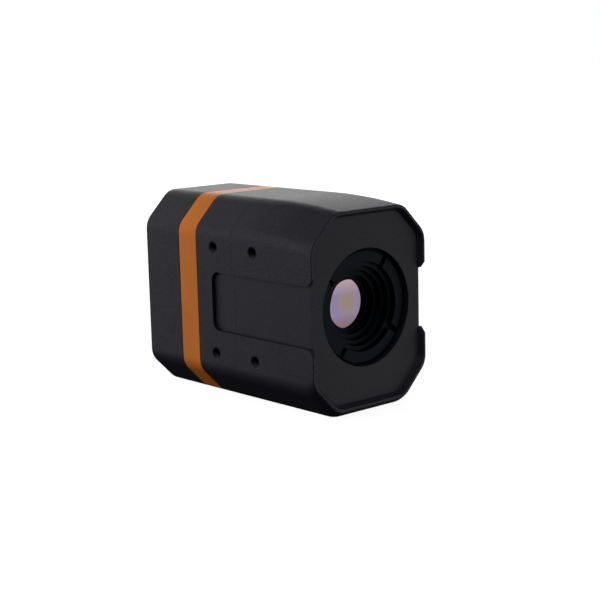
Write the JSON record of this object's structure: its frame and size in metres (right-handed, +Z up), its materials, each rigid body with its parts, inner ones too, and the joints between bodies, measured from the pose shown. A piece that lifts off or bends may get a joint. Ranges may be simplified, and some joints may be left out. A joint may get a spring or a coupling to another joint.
{
  "type": "thermal imaging camera",
  "caption": "Compact fixed-mount thermal camera: dark octagonal metal housing, orange band, slotted focusing ring around a coated germanium lens, round sockets at the back.",
  "frame": {"origin": "bottom centre of the whole object's box, on the surface that it stands on", "axes": "+Y towards the rear sockets (the lens looks along -Y), +Z up, +X to the right as seen from the front"},
  "size_m": [0.0556, 0.1028, 0.075],
  "materials": {
    "housing_coat": "dark blue-grey fine-textured powder coat on aluminium",
    "orange_band": "satin orange coat on aluminium",
    "gasket_rubber": "black nitrile",
    "black_anodised": "black anodised, finely turned",
    "lens_coating": "germanium with a violet anti-reflection coating, opaque to the eye",
    "bare_aluminium": "milled",
    "screw_steel": "stainless",
    "black_screw_steel": "black oxide",
    "spring_steel": "blued spring steel",
    "shutter_metal": "matt black coated sheet",
    "motor_can": "drawn steel can",
    "detector_ceramic": "dark ceramic package",
    "detector_glass": "coated germanium window",
    "circuit_board": "green solder mask",
    "chip_plastic": "black epoxy",
    "thermal_pad": "soft silicone",
    "flex_polyimide": "amber polyimide",
    "brass": "turned",
    "lead_jacket": "black jacket",
    "socket_nickel": "nickel-plated, satin",
    "insert_plastic": "black polyamide",
    "gold_contact": "gold-plated",
    "light_pipe": "frosted clear acrylic"
  },
  "bodies": {
    "camera_body": {"front_housing": "housing_coat", "middle_housing": "housing_coat", "accent_band": "orange_band", "rear_housing": "housing_coat", "front_gasket": "gasket_rubber", "band_front_gasket": "gasket_rubber", "band_rear_gasket": "gasket_rubber", "tie_screws": "screw_steel", "focus_ring_clip": "spring_steel", "focus_key_pin": "screw_steel", "lens_mount": "black_anodised", "lens_mount_screws": "screw_steel", "shutter_bracket": "shutter_metal", "shutter_motor": "motor_can", "sensor_spacers": "brass", "detector_package": "detector_ceramic", "detector_window": "detector_glass", "sensor_board": "circuit_board", "thermal_pad": "thermal_pad", "heat_spreader": "bare_aluminium", "sensor_screws": "screw_steel", "sensor_flex": "flex_polyimide", "processor_board": "circuit_board", "processor_chips": "chip_plastic", "interface_board": "circuit_board", "interface_parts": "chip_plastic", "front_standoffs": "brass", "rear_standoffs": "brass", "board_screws": "screw_steel", "network_lead": "lead_jacket", "power_lead": "lead_jacket", "rear_panel": "housing_coat", "rear_panel_gasket": "gasket_rubber", "rear_panel_screws": "black_screw_steel", "network_socket": "socket_nickel", "network_insert": "insert_plastic", "power_socket": "socket_nickel", "power_insert": "insert_plastic", "power_pins": "gold_contact", "socket_nuts": "brass", "status_lights": "light_pipe"},
    "focus_ring_body": {"focus_ring": "black_anodised", "focus_ring_seal": "gasket_rubber"},
    "lens_cell_body": {"lens_cell": "black_anodised", "lens_baffle": "black_anodised", "front_lens": "lens_coating", "rear_lens": "lens_coating", "rear_lens_retainer": "black_anodised"},
    "shutter_body": {"shutter_blade": "shutter_metal"}
  },
  "joints": [
    {"name": "focus_turn", "type": "hinge", "parent": "camera_body", "child": "focus_ring_body", "pos_m": [0, -0.0435, 0.0375], "axis": [0, -1, 0], "range_deg": [0, 270]},
    {"name": "focus_slide", "type": "slide", "parent": "camera_body", "child": "lens_cell_body", "axis": [0, -1, 0], "range_m": [0, 0.0015]},
    {"name": "shutter_swing", "type": "hinge", "parent": "camera_body", "child": "shutter_body", "pos_m": [0, -0.0173, 0.0575], "axis": [0, 1, 0], "range_deg": [0, 50], "stiffness_Nm_per_rad": 0.0004, "springref_deg": -34.38}
  ],
  "couplings": [
    {"joint": "focus_slide", "follows": "focus_turn", "m_per_rad": 0.000318}
  ]
}
